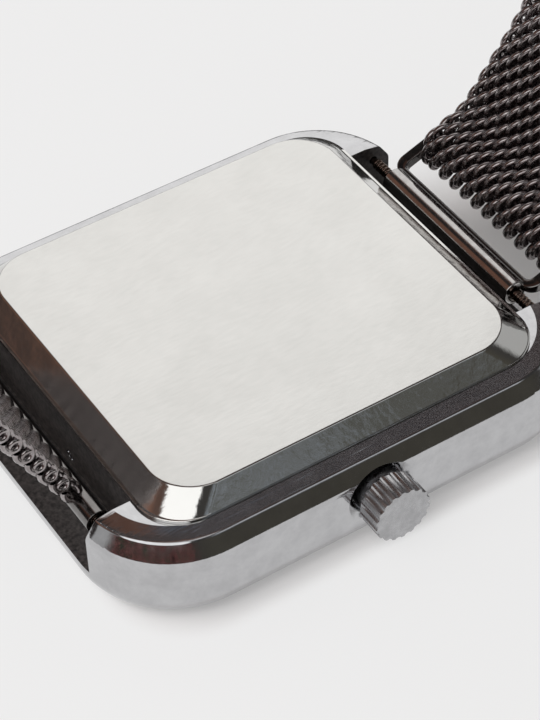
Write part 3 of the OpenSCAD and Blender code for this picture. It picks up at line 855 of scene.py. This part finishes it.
# Patches of several colours, as stops of (noise value, colour)
SKYLIGHT = dict(scale=55, stops=(
    (0.30, (0.025, 0.025, 0.028)), (0.44, (0.05, 0.052, 0.06)), (0.52, (0.26, 0.30, 0.36)),
    (0.60, (0.045, 0.045, 0.05)), (0.70, (0.20, 0.22, 0.26)),
))
FAR_SHELVES = dict(scale=26, stops=(
    (0.32, (0.10, 0.10, 0.088)), (0.45, (0.15, 0.155, 0.15)), (0.55, (0.23, 0.25, 0.28)),
    (0.68, (0.30, 0.34, 0.39)),
))
TABLE_EDGE = dict(scale=13, upright=6, stops=(
    (0.30, (0.012, 0.011, 0.011)), (0.43, (0.02, 0.016, 0.015)), (0.47, (0.20, 0.05, 0.045)),
    (0.52, (0.42, 0.20, 0.19)), (0.55, (0.03, 0.02, 0.018)), (0.62, (0.02, 0.02, 0.018)),
    (0.66, (0.06, 0.13, 0.08)), (0.72, (0.02, 0.02, 0.02)),
))

# Room, as patches in the order of painting: (direction, cosines of the soft edge, heights, colour)
ROOM_TONE = (0.055, 0.052, 0.05)
ROOM_PATCHES = {
    "panel above": ((0.20, -0.02, 0.98), (0.94, 0.975), None, (0.85, 0.85, 0.85)),
    "panel at 6": ((0.10, 0.97, 0.20), (0.86, 0.94), None, (0.5, 0.5, 0.5)),
    "panel at 9": ((-0.97, -0.10, 0.20), (0.90, 0.96), None, (0.5, 0.5, 0.5)),
    "panel at 12": ((-0.10, -0.98, 0.15), (0.93, 0.97), None, (0.5, 0.5, 0.5)),
    "brown ceiling": ((-0.45, -0.15, 0.88), (0.60, 0.95), None, (0.15, 0.082, 0.062)),
    "olive side": ((0.93, 0.36, 0.22), (0.80, 0.97), None, (0.075, 0.07, 0.058)),
    "skylight": ((-0.33, 0.33, 0.88), (0.965, 0.985), None, SKYLIGHT),
    "far shelves": ((0.77, 0.29, 0.57), (0.972, 0.996), None, FAR_SHELVES),
    "dark corner": ((-0.605, -0.74, 0.29), (0.93, 0.97), None, (0.04, 0.033, 0.031)),
    "warm wall": ((-0.60, -0.60, 0.53), (0.88, 0.93), (0.37, 0.45), (0.22, 0.115, 0.082)),
    "dark beam": ((-0.62, -0.18, 0.76), (0.975, 0.99), None, (0.03, 0.029, 0.029)),
    "grey panel": ((0.60, 0.37, 0.72), (0.975, 0.992), None, (0.62, 0.63, 0.65)),
    "table edge": ((0.62, -0.78, 0.1), (0.70, 0.82), (0.42, 0.38), TABLE_EDGE),
    "window": ((0.46, -0.585, 0.67), (0.865, 0.885), (0.40, 0.45), (1.45, 1.45, 1.45)),
    "bright wall": ((-0.72, 0.42, 0.55), (0.90, 0.945), None, (1.22, 1.21, 1.20)),
}


class Room(Nodes):
    """The colours of the studio around the watch, laid over each other by direction."""

    def __init__(self, base):
        world = bpy.data.worlds.new("studio")
        world.use_nodes = True
        bpy.context.scene.world = world
        super().__init__(world.node_tree)
        self.tree.nodes.clear()
        self.direction = self.add("ShaderNodeTexCoord").outputs["Generated"]
        self.colour = base

    def comes_in(self, value, low, high):
        """Rises softly from 0 to 1 as the value goes from low to high."""
        return self.spread(value, low, high, 0, 1, "SMOOTHSTEP")

    def toward(self, place, low, high):
        """1 near a direction and 0 away from it; low and high are cosines."""
        node = self.add("ShaderNodeVectorMath", operation="DOT_PRODUCT")
        node.inputs[1].default_value = Vector(place).normalized()
        self.link(self.direction, node.inputs[0])
        return self.comes_in(node.outputs["Value"], low, high)

    def mottled(self, scale, stops, upright=1):
        """Blurred patches of several colours, as of things that stand around."""
        stretch = self.add("ShaderNodeMapping")
        stretch.inputs["Scale"].default_value = (1, 1, upright)
        self.link(self.direction, stretch.inputs["Vector"])
        noise = self.add("ShaderNodeTexNoise")
        noise.inputs["Scale"].default_value = scale
        noise.inputs["Detail"].default_value = 1
        self.link(stretch.outputs["Vector"], noise.inputs["Vector"])
        ramp = self.add("ShaderNodeValToRGB")
        elements = ramp.color_ramp.elements
        for element, (position, colour) in zip(elements, (stops[0], stops[-1])):
            element.position = position
            element.color = (*colour, 1)
        for position, colour in stops[1:-1]:
            elements.new(position).color = (*colour, 1)
        self.link(noise.outputs["Fac"], ramp.inputs["Fac"])
        return ramp.outputs["Color"]

    def paint(self, place, edge, heights, colour):
        """Lays a colour, or several as in mottled, over what is there near a direction."""
        mask = self.toward(place, *edge)
        if heights:
            up = self.parts_of(self.direction)[2]
            mask = self.maths("MULTIPLY", mask, self.comes_in(up, *heights))
        if isinstance(colour, dict):
            colour = self.mottled(**colour)
        self.colour = self.mixed(mask, self.colour, colour)


def studio_world():
    """Dim room with bright walls for mirrors to see, and a pale backdrop for the camera."""
    room = Room(ROOM_TONE)
    for patch in ROOM_PATCHES.values():
        room.paint(*patch)
    inside = room.add("ShaderNodeBackground")
    room.link(room.colour, inside.inputs["Color"])
    backdrop = room.add("ShaderNodeBackground")
    room.feed(backdrop.inputs["Color"], PALE)
    path = room.add("ShaderNodeLightPath")
    surface = room.blended(path.outputs["Is Camera Ray"], inside, backdrop)
    output = room.add("ShaderNodeOutputWorld")
    room.link(surface, output.inputs["Surface"])


# Lamp, in metres and watts
LAMP_PLACE = Vector((-0.10, -0.34, 0.50))
LAMP_AIM = Vector((0, 0, 0.005))
LAMP_SIZE = 0.60
LAMP_POWER = 3.3


def soft_light():
    """A large square light that faces the watch and isn't seen in its polished faces."""
    data = bpy.data.lights.new("ceiling_soft_box", "AREA")
    data.shape = "SQUARE"
    data.size = LAMP_SIZE
    data.energy = LAMP_POWER
    lamp = bpy.data.objects.new("ceiling_soft_box", data)
    lamp.visible_glossy = False
    lamp.location = LAMP_PLACE
    lamp.rotation_euler = (LAMP_AIM - LAMP_PLACE).to_track_quat("-Z", "Y").to_euler()
    bpy.context.scene.collection.objects.link(lamp)


def photo_camera():
    """The photograph's camera."""
    data = bpy.data.cameras.new("photo_camera")
    data.lens = LENS
    data.sensor_width = SENSOR_W
    data.clip_start = CAMERA_NEAR
    camera = bpy.data.objects.new("photo_camera", data)
    back = CAMERA_RIGHT.cross(CAMERA_UP)
    turn = Matrix((CAMERA_RIGHT, CAMERA_UP, back)).transposed().to_4x4()
    camera.matrix_world = Matrix.Translation(CAMERA_PLACE) @ turn
    bpy.context.scene.collection.objects.link(camera)
    bpy.context.scene.camera = camera


studio_floor()
studio_world()
soft_light()
photo_camera()
bpy.context.scene.view_settings.view_transform = "Standard"
